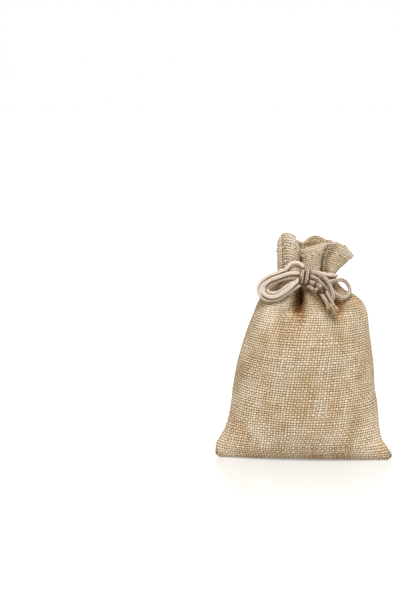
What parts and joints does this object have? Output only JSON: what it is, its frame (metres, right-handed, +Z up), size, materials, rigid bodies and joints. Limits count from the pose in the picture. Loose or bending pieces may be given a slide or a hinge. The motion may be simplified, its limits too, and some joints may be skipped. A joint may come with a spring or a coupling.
{
  "type": "hessian drawstring sack",
  "caption": "Small hessian drawstring sack, filled, standing on its base with pointed bottom corners, its neck gathered and tied in a bow.",
  "frame": {"origin": "middle of the base, on the surface that the sack stands on", "axes": "+Z up through the neck, -Y out of the front with the bow, +X to the right seen from the front"},
  "size_m": [0.094, 0.0512, 0.1196],
  "materials": {
    "hessian": "coarse plain weave, matt",
    "cord": "soft knitted cord, matt"
  },
  "bodies": {
    "root": {"sack": "hessian", "cord_neck": "cord", "knot": "cord", "loop_left_outer": "cord", "loop_left_middle": "cord", "loop_left_inner": "cord", "loop_right_front": "cord", "loop_right_back": "cord", "tail_root_upper": "cord", "tail_root_lower": "cord", "tail_knot": "cord", "tail_end_upper": "cord", "tail_end_lower": "cord"}
  },
  "joints": []
}
